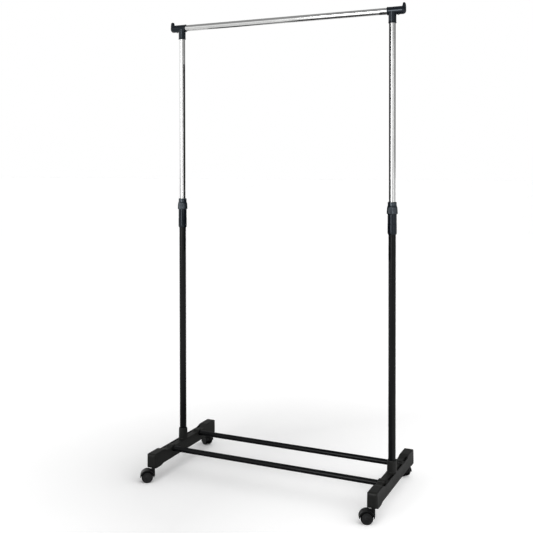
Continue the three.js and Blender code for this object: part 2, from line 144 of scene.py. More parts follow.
def rounded(corners, steps):
    """Points of a closed outline whose corners are (across, up) or (across, up, rounding).
    Each rounding is an arc of that many steps."""
    points = []
    count = len(corners)
    for i, corner in enumerate(corners):
        here = Vector(corner[:2])
        radius = corner[2] if len(corner) > 2 else 0
        if radius == 0:
            points.append(here)
            continue
        start, end = (
            here + (Vector(other[:2]) - here).normalized() * radius
            for other in (corners[i - 1], corners[(i + 1) % count])
        )
        for step in range(steps + 1):
            t = step / steps
            points.append(start * (1 - t) ** 2 + here * 2 * t * (1 - t) + end * t * t)
    return points


def subdivided(points, longest):
    """The same closed outline with no edge longer than longest."""
    fine = []
    for i, here in enumerate(points):
        after = points[(i + 1) % len(points)]
        parts = max(1, math.ceil((after - here).length / longest))
        fine += [here.lerp(after, k / parts) for k in range(parts)]
    return fine


LATHE_STEPS, PRISM_STEPS = 5, 6  # of each rounding
AXIS_MM = 1e-6  # a point nearer to the axis of a turned piece lies on it
AXIS_TURN = {
    "x": Matrix.Rotation(math.pi / 2, 4, "Y"),
    "y": Matrix.Rotation(-math.pi / 2, 4, "X"),
    "z": Matrix.Identity(4),
}


def lathe(name, corners, axis="z", at=(0, 0, 0), sides=64, relief=None, longest=None):
    """A turned piece. corners is a closed outline of (radius, along, rounding) round the axis.
    relief(angle, radius, along) gives a new radius, for ribs and flutes."""
    outline = rounded(corners, LATHE_STEPS)
    if longest:
        outline = subdivided(outline, longest)
    bm = bmesh.new()
    rings = []
    for column in range(sides):
        angle = 2 * math.pi * column / sides
        ring = []
        for radius, along in outline:
            r = relief(angle, radius, along) if relief else radius
            place = (r * MM * math.cos(angle), r * MM * math.sin(angle), along * MM)
            ring.append(bm.verts.new(place))
        rings.append(ring)
    count = len(outline)
    for column in range(sides):
        here, after = rings[column], rings[(column + 1) % sides]
        for k in range(count):
            up = (k + 1) % count
            on_axis = outline[k][0] < AXIS_MM and outline[up][0] < AXIS_MM
            if on_axis:
                continue
            bm.faces.new((here[k], after[k], after[up], here[up]))
    bmesh.ops.remove_doubles(bm, verts=bm.verts, dist=MERGE_M)
    bmesh.ops.transform(bm, matrix=AXIS_TURN[axis], verts=bm.verts)
    bmesh.ops.translate(bm, vec=Vector(at) * MM, verts=bm.verts)
    return shade(new_object(name, bm))


def prism(name, corners, axis, low, high):
    """A prism along an axis. Its outline is in (Y, Z) for x, (X, Z) for y and (X, Y) for z."""
    place = {
        "x": lambda a, b, along: (along, a, b),
        "y": lambda a, b, along: (a, along, b),
        "z": lambda a, b, along: (a, b, along),
    }[axis]
    outline = rounded(corners, PRISM_STEPS)
    bm = bmesh.new()
    near = [bm.verts.new(Vector(place(a, b, low)) * MM) for a, b in outline]
    far = [bm.verts.new(Vector(place(a, b, high)) * MM) for a, b in outline]
    bm.faces.new(near)
    bm.faces.new(reversed(far))
    for k in range(len(near)):
        after = (k + 1) % len(near)
        bm.faces.new((near[k], near[after], far[after], far[k]))
    return new_object(name, bm)


def block(name, low, high):
    """A box between two opposite corners."""
    corners = [(low[0], low[1]), (high[0], low[1]), (high[0], high[1]), (low[0], high[1])]
    return prism(name, corners, "z", low[2], high[2])


def rod(name, radius, low, high, axis="z", at=(0, 0, 0), sides=48):
    return lathe(name, [(0, low), (radius, low), (radius, high), (0, high)], axis, at, sides)


def moved(obj, matrix):
    """Moves the mesh itself, so that the piece keeps its origin at the frame's."""
    obj.data.transform(matrix)
    if matrix.determinant() < 0:
        obj.data.flip_normals()
    return obj


def copy_of(obj, name, matrix):
    twin = bpy.data.objects.new(name, obj.data.copy())
    twin.data.name = name
    bpy.context.scene.collection.objects.link(twin)
    return moved(twin, matrix)


def side_matrix(side):
    """From a piece drawn with +X outwards and the post's axis on Z to its place in the rack."""
    mirror = Matrix.Scale(OUTWARD[side], 4, (1, 0, 0))
    return Matrix.Translation((POST_X[side] * MM, 0, 0)) @ mirror


def finished(obj, material, body, slot, *nodes):
    """Gives a piece its looks unless it has them and its body, and hides the nodes it replaces.
    slot is not used.
    """
    if len(obj.data.materials) == 0:
        obj.data.materials.append(material)
    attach(obj, body)
    if nodes:
        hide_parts(*nodes)
    return obj


# ---- Materials ----------------------------------------------------------------------------------


class Nodes:
    """A short way to write a procedural material: each call adds a node and returns its output."""

    def __init__(self, name):
        self.material = bpy.data.materials.new(name)
        self.material.use_nodes = True
        self.tree = self.material.node_tree
        self.shader = self.tree.nodes["Principled BSDF"]
        self.object_coordinates = self.add("ShaderNodeTexCoord").outputs["Object"]

    def add(self, kind, **settings):
        node = self.tree.nodes.new(kind)
        for key, value in settings.items():
            setattr(node, key, value)
        return node

    def link(self, source, target):
        self.tree.links.new(source, target)

    def stretched(self, scale):
        mapping = self.add("ShaderNodeMapping")
        mapping.inputs["Scale"].default_value = scale
        self.link(self.object_coordinates, mapping.inputs["Vector"])
        return mapping.outputs["Vector"]

    def noise(self, scale, detail=3.0, roughness=0.5, vector=None):
        node = self.add("ShaderNodeTexNoise")
        node.inputs["Scale"].default_value = scale
        node.inputs["Detail"].default_value = detail
        node.inputs["Roughness"].default_value = roughness
        self.link(vector or self.object_coordinates, node.inputs["Vector"])
        return node.outputs["Fac"]

    def cells(self, scale):
        node = self.add("ShaderNodeTexVoronoi", feature="F1")
        node.inputs["Scale"].default_value = scale
        self.link(self.object_coordinates, node.inputs["Vector"])
        return node.outputs["Distance"]

    def spread(self, value, low, high, to_low, to_high):
        """The value's range from low to high, stretched to run from to_low to to_high."""
        node = self.add("ShaderNodeMapRange", clamp=True)
        for socket, number in zip(node.inputs[1:5], (low, high, to_low, to_high)):
            socket.default_value = number
        self.link(value, node.inputs["Value"])
        return node.outputs["Result"]

    def mixed(self, amount, first, second):
        node = self.add("ShaderNodeMix", data_type="RGBA")
        self.link(amount, node.inputs["Factor"])
        for socket, value in ((node.inputs["A"], first), (node.inputs["B"], second)):
            if isinstance(value, tuple):
                socket.default_value = (*value, 1)
            else:
                self.link(value, socket)
        return node.outputs["Result"]

    def sum(self, first, second):
        return self.calculated("ADD", first, second)

    def product(self, first, second):
        return self.calculated("MULTIPLY", first, second)

    def calculated(self, operation, first, second):
        node = self.add("ShaderNodeMath", operation=operation)
        for socket, value in ((node.inputs[0], first), (node.inputs[1], second)):
            if isinstance(value, (int, float)):
                socket.default_value = value
            else:
                self.link(value, socket)
        return node.outputs["Value"]

    def bump(self, height, strength, depth_mm):
        node = self.add("ShaderNodeBump")
        node.inputs["Strength"].default_value = strength
        node.inputs["Distance"].default_value = depth_mm * MM
        self.link(height, node.inputs["Height"])
        self.link(node.outputs["Normal"], self.shader.inputs["Normal"])

    def surface(self, colour, roughness):
        self.link(colour, self.shader.inputs["Base Color"])
        self.link(roughness, self.shader.inputs["Roughness"])

    def constant(self, socket, value):
        self.shader.inputs[socket].default_value = value


def plastic(name, dark, light, roughness, grain_per_m, grain_mm, specular, tint=(1, 1, 1)):
    """Moulded black plastic: a fine spark-eroded grain, cloudy gloss and pale rubbed specks."""
    n = Nodes(name)
    cloud = n.noise(22, 4)
    grain = n.noise(grain_per_m, 2, 0.6)
    specks = n.spread(n.noise(260, 5, 0.7), 0.63, 0.74, 0, 1)
    rubbed_places = n.spread(n.noise(14, 2), 0.5, 0.62, 0, 0.55)
    base = n.mixed(n.spread(cloud, 0.35, 0.65, 0, 1), dark, light)
    worn = tuple(c * 2.1 + 0.012 for c in light)
    colour = n.mixed(n.product(specks, rubbed_places), base, worn)
    cloudy_gloss = n.spread(cloud, 0.3, 0.7, *roughness)
    grain_gloss = n.spread(grain, 0.3, 0.7, -0.03, 0.03)
    n.surface(colour, n.sum(cloudy_gloss, grain_gloss))
    n.bump(n.sum(grain, n.spread(cloud, 0.2, 0.8, 0, 0.6)), 0.55, grain_mm)
    n.constant("Specular IOR Level", specular)
    n.constant("Specular Tint", (*tint, 1))
    return n.material


def powder_coat():
    """Semi-gloss black powder coat: orange-peel waves, cloudy gloss and specks of dust."""
    n = Nodes("powder_coat")
    peel = n.noise(750, 2, 0.45)
    cloud = n.noise(9, 4)
    dust = n.spread(n.noise(2600, 2, 0.6), 0.66, 0.75, 0, 0.5)
    dark, light, dusty = (0.004, 0.0044, 0.005), (0.007, 0.0074, 0.008), (0.045, 0.045, 0.044)
    base = n.mixed(n.spread(cloud, 0.35, 0.65, 0, 1), dark, light)
    rough = n.sum(n.spread(cloud, 0.3, 0.7, 0.2, 0.27), n.spread(peel, 0.3, 0.7, -0.02, 0.04))
    n.surface(n.mixed(dust, base, dusty), rough)
    n.bump(peel, 0.35, 0.04)
    n.constant("Specular IOR Level", 0.18)
    return n.material


def bright_steel(name, along):
    """Polished tube: drawing lines along the axis, a breath of haze and tiny handling scratches."""
    n = Nodes(name)
    across_per_m, along_per_m = 3200, 6
    scale = tuple(along_per_m if axis == along else across_per_m for axis in "xyz")
    coarser = tuple(s * 0.4 + 30 for s in scale)
    lines = n.noise(1, 1, 0.5, n.stretched(scale))
    haze = n.noise(11, 4)
    scratches = n.spread(n.noise(1, 2, 0.5, n.stretched(coarser)), 0.68, 0.72, 0, 1)
    tint = n.mixed(n.spread(haze, 0.3, 0.7, 0, 1), (0.80, 0.805, 0.80), (0.88, 0.88, 0.875))
    rough = n.sum(n.spread(haze, 0.3, 0.7, 0.11, 0.17), n.spread(lines, 0.3, 0.7, -0.02, 0.05))
    n.surface(tint, n.sum(rough, n.product(scratches, 0.08)))
    n.bump(lines, 0.03, 0.02)
    n.constant("Metallic", 1.0)
    return n.material


def zinc():
    """Bright zinc plating with small spangle."""
    n = Nodes("zinc_plate")
    spangle = n.cells(900)
    cloud = n.noise(180, 3)
    colour = n.mixed(n.spread(cloud, 0.3, 0.7, 0, 1), (0.50, 0.50, 0.51), (0.66, 0.66, 0.65))
    n.surface(colour, n.spread(spangle, 0.1, 0.7, 0.3, 0.46))
    n.bump(n.sum(spangle, cloud), 0.3, 0.03)
    n.constant("Metallic", 1.0)
    return n.material


def nylon():
    """Natural nylon of the inner guides and collets."""
    n = Nodes("natural_nylon")
    cloud = n.noise(90, 3)
    fine = n.noise(1800, 2)
    n.surface(
        n.mixed(n.spread(cloud, 0.3, 0.7, 0, 1), (0.70, 0.69, 0.65), (0.78, 0.77, 0.73)),
        n.spread(fine, 0.3, 0.7, 0.42, 0.56),
    )
    n.bump(fine, 0.3, 0.03)
    n.constant("Subsurface Weight", 0.15)
    n.constant("Subsurface Scale", 0.002)
    return n.material


def wheel_nylon(name, dark, light, specular):
    """Caster wheels: satin nylon, dulled and dusty from rolling."""
    n = Nodes(name)
    cloud = n.noise(60, 4)
    grit = n.noise(1500, 3, 0.7)
    dusty = n.spread(n.noise(140, 5, 0.7), 0.5, 0.68, 0, 0.6)
    base = n.mixed(n.spread(cloud, 0.3, 0.7, 0, 1), dark, light)
    paler = tuple(c * 2 + 0.008 for c in light)
    rough = n.sum(n.spread(cloud, 0.3, 0.7, 0.36, 0.5), n.spread(grit, 0.3, 0.7, -0.03, 0.05))
    n.surface(n.mixed(dusty, base, paler), rough)
    n.bump(grit, 0.4, 0.05)
    n.constant("Specular IOR Level", specular)
    return n.material


BLUISH = (0.80, 0.90, 1.0)  # tone of the clear reflections on the glossy mouldings
FOOT_PLASTIC = plastic(
    "foot_plastic", dark=(0.008, 0.0085, 0.008), light=(0.013, 0.0135, 0.0125),
    roughness=(0.34, 0.46), grain_per_m=1700, grain_mm=0.07, specular=0.34,
)
BLACK_PLASTIC = plastic(
    "black_plastic", dark=(0.004, 0.006, 0.009), light=(0.007, 0.009, 0.013),
    roughness=(0.12, 0.19), grain_per_m=2200, grain_mm=0.010, specular=0.4, tint=BLUISH,
)
HOOD_PLASTIC = plastic(
    "hood_plastic", dark=(0.007, 0.007, 0.0075), light=(0.012, 0.012, 0.013),
    roughness=(0.26, 0.36), grain_per_m=2200, grain_mm=0.03, specular=0.28,
)
GRIP_PLASTIC = plastic(
    "grip_plastic", dark=(0.007, 0.010, 0.014), light=(0.011, 0.014, 0.019),
    roughness=(0.18, 0.26), grain_per_m=2200, grain_mm=0.012, specular=1.0, tint=BLUISH,
)
WHEEL_FACE = wheel_nylon(
    "wheel_face", dark=(0.010, 0.010, 0.0105), light=(0.016, 0.016, 0.017), specular=0.42
)
# The tread's nylon is a darker, less glossy copy of the face's: painted shade that draws a dark
# ring round each wheel.
SHADED_WHEEL_TREAD = wheel_nylon(
    "wheel_tread_painted_shade", dark=(0.002, 0.002, 0.0022), light=(0.004, 0.004, 0.0044), specular=0.08
)
POWDER_COAT = powder_coat()
STEEL_UPRIGHT = bright_steel("bright_steel_upright", "z")
STEEL_ACROSS = bright_steel("bright_steel_across", "x")
ZINC = zinc()
NYLON = nylon()

# ---- Tubes --------------------------------------------------------------------------------------

WALL = 0.8  # of every tube
TUBE_LIP = 0.25  # rounding at the cut ends


def tube(name, node, axis):
    """A hollow tube that fills the CAD node's box."""
    low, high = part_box(node)
    index = "xyz".index(axis)
    middle = (low + high) / 2 / MM
    middle[index] = 0
    across = (index + 1) % 3
    outer = (high - low)[across] / 2 / MM
    start, end = low[index] / MM, high[index] / MM
    inner = outer - WALL
    corners = [
        (inner, start, TUBE_LIP), (outer, start, TUBE_LIP),
        (outer, end, TUBE_LIP), (inner, end, TUBE_LIP),
    ]
    return lathe(name, corners, axis, middle, sides=96)


def add_tubes():
    for side in SIDES:
        finished(tube(f"lower_tube_{side}", f"lower_post_{side}", "z"),
                 POWDER_COAT, "base", "black_paint", f"lower_post_{side}")
        finished(tube(f"upper_tube_{side}", f"upper_post_{side}", "z"),
                 STEEL_UPRIGHT, "upper_frame", "bright_steel", f"upper_post_{side}")
    for end in ENDS:
        finished(tube(f"shoe_tube_{end}", f"shoe_rail_{end}", "x"),
                 POWDER_COAT, "base", "black_paint", f"shoe_rail_{end}")
    finished(tube("hanging_tube", "hanging_rail", "x"),
             STEEL_ACROSS, "upper_frame", "bright_steel", "hanging_rail")


# ---- Height collars and lock nuts ---------------------------------------------------------------

COLLAR_BORE = 11.45
COLLAR_R = 13.7
COLLAR_BAND_R = 14.0
COLLAR_BAND_UP = 31.5  # the wider lower end, above the collar's lowest edge
COLLAR_SHOULDER_DOWN = 25  # from the top of the neck to the top of the wide sleeve
THREAD_R = 12.3
COLLET_BORE = 11.4
THREAD_PITCH = 2.5
THREAD_DEPTH = 0.35
COLLAR_STOP_R = 10.5  # the ring inside the collar that sits on the lower post's end
COLLAR_STOP_UP = (52.5, 57.7)  # and its two faces, above the collar's lowest edge

NUT_RIBS = 28
NUT_RIB_DEPTH = 0.75
NUT_BORE = 10.4
NUT_GRIP_DOWN = 15  # from the nut's top to the top of its ribs
NUT_BAND_DOWN = 10.5  # and to the foot of the smooth band
NUT_BAND_IN = 3.2  # the band is this much slimmer than the flared rim
NUT_LIP = 8.2  # height of the lip that presses on the collet


def collar_sleeve(side):
    """The sleeve over the lower post's end, with the thread for the nut round its neck."""
    node = f"collar_sleeve_{side}"
    low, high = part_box(node)
    bottom, top = low.z / MM, high.z / MM
    shoulder = top - COLLAR_SHOULDER_DOWN
    band = bottom + COLLAR_BAND_UP
    stop_low, stop_high = (bottom + up for up in COLLAR_STOP_UP)

    def thread(angle, radius, along):
        if radius < THREAD_R - 0.1 or along < shoulder + 3 or along > top - 1:
            return radius
        turn = (along / THREAD_PITCH - angle / (2 * math.pi)) % 1
        return radius - THREAD_DEPTH * (0.5 - 0.5 * math.cos(2 * math.pi * turn))

    corners = [
        (COLLAR_BORE, bottom, 0.3), (COLLAR_BAND_R - 1.3, bottom, 0.5),
        (COLLAR_BAND_R, bottom + 4.5, 1.6), (COLLAR_BAND_R, band, 0.4),
        (COLLAR_R, band + 1, 0.4), (COLLAR_R, shoulder, 0.5),
        (THREAD_R, shoulder, 0.3), (THREAD_R, top, 0.4),
        (COLLET_BORE, top, 0.3), (COLLET_BORE, stop_high, 0.2),
        (COLLAR_STOP_R, stop_high, 0.2), (COLLAR_STOP_R, stop_low, 0.2),
        (COLLAR_BORE, stop_low, 0.2),
    ]
    obj = lathe(f"sleeve_{side}", corners, at=(POST_X[side], 0, 0), sides=96,
                relief=thread, longest=0.8)
    finished(obj, BLACK_PLASTIC, "base", "black_plastic", node)


def lock_nut(side):
    """The twist lock: a flared grip with ribs under a slim smooth band."""
    node = f"lock_nut_{side}"
    low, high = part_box(node)
    bottom, top = low.z / MM, high.z / MM
    flare = (high - low).x / 2 / MM
    grip_top = top - NUT_GRIP_DOWN
    band = flare - NUT_BAND_IN
    bore, lip = THREAD_R + 0.3, top - NUT_LIP

    def ribs(angle, radius, along):
        if radius < NUT_BORE + 2.6 or along > grip_top:
            return radius
        fade = min(1, (grip_top - along) / 4, (along - bottom) / 1.5)
        wave = 0.5 - 0.5 * math.cos(angle * NUT_RIBS)
        return radius - NUT_RIB_DEPTH * max(0, fade) * wave ** 1.5

    corners = [
        (bore, bottom, 0.2), (flare - 0.5, bottom, 0.5),
        (flare, bottom + 2, 1.2), (flare - 1.05, grip_top - 2, 2),
        (band + 0.5, grip_top + 2.4, 2.2), (band, top - NUT_BAND_DOWN, 0.6),
        (band, top - 0.9, 0.7), (band - 1.4, top, 0.4),
        (NUT_BORE, top, 0.3), (NUT_BORE, lip, 0.2), (bore, lip, 0.2),
    ]
    obj = lathe(f"twist_lock_{side}", corners, at=(POST_X[side], 0, 0), sides=NUT_RIBS * 8,
                relief=ribs, longest=1.0)
    finished(obj, GRIP_PLASTIC, node, "black_plastic", node)


# ---- T connectors -------------------------------------------------------------------------------

T_RIM = 15.5  # from the post's axis to the inner rim
T_END = 40.8  # and to the outer end
T_BODY_R = 12.1
T_SLEEVE_R = 11.8
T_LIP = 0.55  # the rims are a little thicker
T_BORE_R = 10.3  # for the rail and for the post
RAIL_REACH = 23.3  # from the post's axis to the floor of the rail's bore
POST_BORE_UP = 21.8  # depth of the post's bore
T_SCREW_R = 1.9  # of both screws' bores
T_SCREW_X = 18.5  # the rail screw, from the post's axis
T_SCREW_UP = 10  # the post screw, above the sleeve's lower edge
HOOK_HALF_W, HOOK_TIP_HALF_W = 7.6, 5.2  # half widths at the hook's root and tip


def t_hook(axis_z, top):
    """The upturned end hook: its outline from the side, limited to the one from the end."""
    side = [
        (T_END - 11, axis_z), (T_END - 0.6, axis_z, 1), (T_END, axis_z + 7, 4),
        (T_END - 0.5, top - 6, 2.5), (T_END - 2, top, 2.4), (T_END - 7.3, top, 2.4),
        (T_END - 7.8, top - 7, 3), (T_END - 10.4, axis_z + T_BODY_R - 2.5, 1),
    ]
    wide, slim, tip_rounding = HOOK_HALF_W, HOOK_TIP_HALF_W, 4.8
    front = [
        (-wide, axis_z), (wide, axis_z), (slim, top, tip_rounding), (-slim, top, tip_rounding),
    ]
    hook = prism("hook", side, "y", -10, 10)
    return combine(hook, "INTERSECT", prism("hook_front", front, "x", T_END - 15, T_END + 1))


def t_bores(bottom, rail_z):
    under, inside = rail_z - T_BODY_R - 3, rail_z - 2
    return [
        rod("rail_bore", T_BORE_R, -T_RIM - 2, RAIL_REACH, "x", (0, 0, rail_z), 96),
        rod("post_bore", T_BORE_R, bottom - 2, bottom + POST_BORE_UP, "z", sides=96),
        rod("rail_screw_bore", T_SCREW_R, under, inside, "z", (T_SCREW_X, 0, 0), 24),
        rod("post_screw_bore", T_SCREW_R, 1, T_SLEEVE_R + 3, "y", (0, 0, bottom + T_SCREW_UP), 24),
    ]


def t_body():
    """The connector drawn with the post on Z and +X outwards."""
    low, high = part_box("t_connector_right")
    bottom, top = low.z / MM, high.z / MM
    rail_z = centre("hanging_rail").z / MM
    rim = T_BODY_R + T_LIP
    body = lathe("t", [
        (0, -T_RIM), (rim, -T_RIM, 0.7), (rim, 2.2 - T_RIM, 0.7),
        (T_BODY_R, 3.4 - T_RIM, 0.6), (T_BODY_R, T_END - 4, 4),
        (T_BODY_R - 4.5, T_END, 3), (0, T_END),
    ], "x", (0, 0, rail_z), sides=96)
    sleeve_rim = T_SLEEVE_R + T_LIP
    sleeve = lathe("sleeve", [
        (0, bottom), (sleeve_rim, bottom, 0.6), (sleeve_rim, bottom + 2.4, 0.6),
        (T_SLEEVE_R, bottom + 3.4, 0.6), (T_SLEEVE_R, rail_z), (0, rail_z),
    ], "z", sides=96)
    shells = [combine(shell, "DIFFERENCE", *t_bores(bottom, rail_z)) for shell in (body, sleeve)]
    return moulded(joined(*shells, t_hook(rail_z, top)), voxel=0.42, rounds=4)


def add_t_connectors():
    pattern = t_body()
    for side in SIDES:
        obj = copy_of(pattern, f"tee_{side}", side_matrix(side))
        finished(obj, BLACK_PLASTIC, "upper_frame", "black_plastic", f"t_connector_{side}")
    discard(pattern)


# ---- Screws and bolts ---------------------------------------------------------------------------

HEX_HEAD_R = 5.8  # over the corners
HEX_HEAD_HEIGHT = 3.6
BOLT_R = 3
BOLT_BORE_R = 3.4  # through the washer and the foot
WASHER_EDGE = 0.2


def pan_head(name, node, axis, head_out, head_r, head_height, shank_r):
    """A cross-recessed pan-head screw that fills the CAD node's box.
    head_out is +1 where the head is at the higher end of the axis."""
    low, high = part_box(node)
    index = "xyz".index(axis)
    at = (low + high) / 2 / MM
    length = (high - low)[index] / MM
    at[index] = (high if head_out > 0 else low)[index] / MM
    corners = [
        (0, -length), (shank_r * 0.5, 1 - length, 0.3), (shank_r, 2.4 - length, 0.3),
        (shank_r, -head_height, 0.1), (head_r, -head_height, 0.25), (head_r - 0.1, -0.75, 0.6),
        (head_r * 0.55, 0, 0.8), (0, 0),
    ]
    obj = lathe(name, corners, "z", sides=48)
    arm, half_width, depth = head_r * 0.58, 0.45, 1.0
    recess = [
        block("slot_a", (-arm, -half_width, -depth), (arm, half_width, 1)),
        block("slot_b", (-half_width, -arm, -depth), (half_width, arm, 1)),
    ]
    shade(combine(obj, "DIFFERENCE", *recess))
    turn = AXIS_TURN[axis]
    if head_out < 0:
        turn = turn @ Matrix.Rotation(math.pi, 4, "X")
    return moved(obj, Matrix.Translation(at * MM) @ turn)


def add_screws():
    small = {"head_r": 3.2, "head_height": 1.8, "shank_r": 1.4}
    large = {"head_r": 3.6, "head_height": 2, "shank_r": 1.5}
    for side in SIDES:
        back = pan_head(f"post_screw_{side}", f"t_post_screw_{side}", "y", 1, **small)
        finished(back, ZINC, "upper_frame", "zinc_steel", f"t_post_screw_{side}")
        under = pan_head(f"end_screw_{side}", f"t_rail_screw_{side}", "z", -1, **small)
        finished(under, ZINC, "upper_frame", "zinc_steel", f"t_rail_screw_{side}")
    for corner in CORNERS:
        screw = pan_head(f"shoe_screw_{corner}", f"rail_screw_{corner}", "z", -1, **large)
        finished(screw, ZINC, "base", "zinc_steel", f"rail_screw_{corner}")


def hex_bolt(side):
    """A hexagon bolt, whose head's lower corners are cut off by a cone."""
    node = f"post_bolt_{side}"
    low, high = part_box(node)
    bottom, top = low.z / MM, high.z / MM
    head_top = bottom + HEX_HEAD_HEIGHT
    head = lathe("head", [
        (0, bottom), (HEX_HEAD_R - 0.8, bottom), (HEX_HEAD_R, bottom + 0.8),
        (HEX_HEAD_R, head_top), (0, head_top),
    ], sides=6)
    cone_r = HEX_HEAD_R + 0.4
    cone = lathe("cone", [
        (0, bottom - 0.1), (cone_r - 1.5, bottom - 0.1), (cone_r, bottom + 1.6),
        (cone_r, top), (0, top),
    ], sides=48)
    shank = lathe("shank", [
        (0, head_top - 1), (BOLT_R, head_top - 1), (BOLT_R, top - 1), (BOLT_R - 0.8, top), (0, top),
    ])
    obj = combine(combine(head, "INTERSECT", cone), "UNION", shank)
    shade(moved(obj, Matrix.Translation((POST_X[side] * MM, 0, 0))))
    finished(obj, ZINC, "base", "zinc_steel", node)


def plain_washer(side):
    node = f"post_washer_{side}"
    low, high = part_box(node)
    bottom, top, outer = low.z / MM, high.z / MM, (high - low).x / 2 / MM
    corners = [
        (BOLT_BORE_R, bottom, 0.1), (outer, bottom, WASHER_EDGE),
        (outer, top, WASHER_EDGE), (BOLT_BORE_R, top, 0.1),
    ]
    obj = lathe(f"washer_{side}", corners, at=(POST_X[side], 0, 0))
    finished(obj, ZINC, "base", "zinc_steel", node)


# ---- Feet ---------------------------------------------------------------------------------------

FOOT_HALF = 203  # from the post to either end
FOOT_BOTTOM_W, FOOT_TOP_W = 17, 15  # half widths
BEAM_BOTTOM, BEAM_TOP = 50.5, 84.5
BLOCK_BOTTOM, BLOCK_TOP = 47, 92  # the deeper ends, which hold the casters
BLOCK_FROM = (166, 154)  # the block's lower side and the beam's meet between these
SHOULDER_FROM = (142, 124)  # and their upper sides between these
FOOT_CORNER_R = 10
FOOT_EDGE_R = 4
SOCKET_FLOOR, SOCKET_TOP = 62, 120
SHOE_Y, SHOE_Z, SHOE_R = 88, 77.5, 8.5  # places and radius of the shoe rails
SHOE_REACH = 3  # the rails' bores end this far beyond the post's axis
BOSS_SIDE, BOSS_ROOF = 3.5, 3.8  # thickness of the rails' housings beside and above the rails
BOSS_OUTER_FACE, BOSS_INNER_FACE = -FOOT_TOP_W - 0.6, 5.2
SCREW_IN = 9  # the rail screws, inwards from the post's axis
STEM_Y = 189  # the caster stems, from the post's axis
POST_BORE_R = 11.45
BOLT_RECESS_R, BOLT_RECESS_ROOF = 8, 56
SCREW_BORE_R = 1.9
SCREW_RECESS_R, SCREW_RECESS_ROOF = 4.2, 54
STEM_BORE_R = 5.8
SLOTS = ((19, 72), (99, 134))  # in the top of the foot, along it
SLOT_INNER, SLOT_OUTER = 6.5, FOOT_TOP_W - 2.8
SLOT_FLOOR = 63
HOLLOWS = ((22, 70), (108, 160))  # in the underside of the foot, along it
HOLLOW_INNER, HOLLOW_OUTER = 3.5, 3 - FOOT_TOP_W
HOLLOW_ROOF = BEAM_TOP - 4.5
BELOW, ABOVE = 40, 130  # where the cutters start and end, clear of the foot


def foot_shell():
    """The beam with its two blocks: the outline from the side, limited to the plan and section."""
    end, wide, slim = FOOT_HALF, FOOT_BOTTOM_W, FOOT_TOP_W
    half = [
        (BLOCK_FROM[1], BEAM_BOTTOM, 2), (BLOCK_FROM[0], BLOCK_BOTTOM, 3), (end, BLOCK_BOTTOM, 6),
        (end, BLOCK_TOP, 9), (SHOULDER_FROM[0], BLOCK_TOP, 7), (SHOULDER_FROM[1], BEAM_TOP, 6),
    ]
    outline = half + [(-y, z, r) for y, z, r in reversed(half)]
    plan_corners = ((wide, -end), (wide, end), (-wide, end), (-wide, -end))
    plan = [(*corner, FOOT_CORNER_R) for corner in plan_corners]
    section = [
        (-wide, BLOCK_BOTTOM), (wide, BLOCK_BOTTOM),
        (slim, BLOCK_TOP, FOOT_EDGE_R), (-slim, BLOCK_TOP, FOOT_EDGE_R),
    ]
    return combine(
        prism("foot", outline, "x", -wide - 1, wide + 1), "INTERSECT",
        prism("plan", plan, "z", BLOCK_BOTTOM - 5, BLOCK_TOP + 1),
        prism("section", section, "y", -end - 1, end + 1),
    )


def foot_additions():
    """The collar round the post and the housings of the two shoe rails."""
    root, tip = 15, 14.2
    socket = lathe("socket", [
        (0, SOCKET_FLOOR), (root, SOCKET_FLOOR), (root, BEAM_TOP + 6, 3),
        (tip, SOCKET_TOP - 2.2, 0.8), (tip - 0.6, SOCKET_TOP, 0.8), (0, SOCKET_TOP),
    ], sides=96)
    parts = [socket]
    for end in ENDS:
        y = ENDWARD[end] * SHOE_Y
        reach, top = SHOE_R + BOSS_SIDE, SHOE_Z + SHOE_R + BOSS_ROOF
        corners = [
            (y - reach, BEAM_BOTTOM + 2), (y + reach, BEAM_BOTTOM + 2),
            (y + reach, top, 7), (y - reach, top, 7),
        ]
        parts.append(prism("boss", corners, "x", BOSS_OUTER_FACE, BOSS_INNER_FACE))
    return parts


def foot_hollows():
    """Cutters for the bores, the recesses, the slots in the top and the hollows below."""
    cuts = [
        rod("post_bore", POST_BORE_R, SOCKET_FLOOR, SOCKET_TOP + 10, sides=96),
        rod("bolt_bore", BOLT_BORE_R, BELOW, SOCKET_FLOOR + 1),
        rod("bolt_recess", BOLT_RECESS_R, BELOW, BOLT_RECESS_ROOF),
    ]
    for end in ENDS:
        way = ENDWARD[end]
        y = way * SHOE_Y
        screw = (-SCREW_IN, y, 0)
        stem = (0, way * STEM_Y, 0)
        cuts += [
            rod("rail_bore", SHOE_R + 0.3, -30, SHOE_REACH, "x", (0, y, SHOE_Z), 64),
            rod("screw_bore", SCREW_BORE_R, BELOW, SHOE_Z, "z", screw, 24),
            rod("screw_recess", SCREW_RECESS_R, BELOW, SCREW_RECESS_ROOF, "z", screw, 32),
            rod("stem_bore", STEM_BORE_R, BELOW, BLOCK_TOP - 6, "z", stem, 40),
        ]
        for near, far in SLOTS:
            low, high = sorted((way * near, way * far))
            cuts.append(block("slot", (SLOT_INNER, low, SLOT_FLOOR), (SLOT_OUTER, high, ABOVE)))
        for near, far in HOLLOWS:
            low, high = sorted((way * near, way * far))
            cuts.append(
                block("hollow", (HOLLOW_OUTER, low, BELOW), (HOLLOW_INNER, high, HOLLOW_ROOF))
            )
    return cuts


def add_feet():
    """The foot drawn with the post on Z and +X outwards."""
    shell = combine(foot_shell(), "UNION", *foot_additions())
    pattern = moulded(combine(shell, "DIFFERENCE", *foot_hollows()), voxel=0.8, rounds=4)
    for side in SIDES:
        obj = copy_of(pattern, f"foot_moulding_{side}", side_matrix(side))
        finished(obj, FOOT_PLASTIC, "base", "foot_plastic", f"foot_{side}")
    discard(pattern)


# ---- Casters ------------------------------------------------------------------------------------

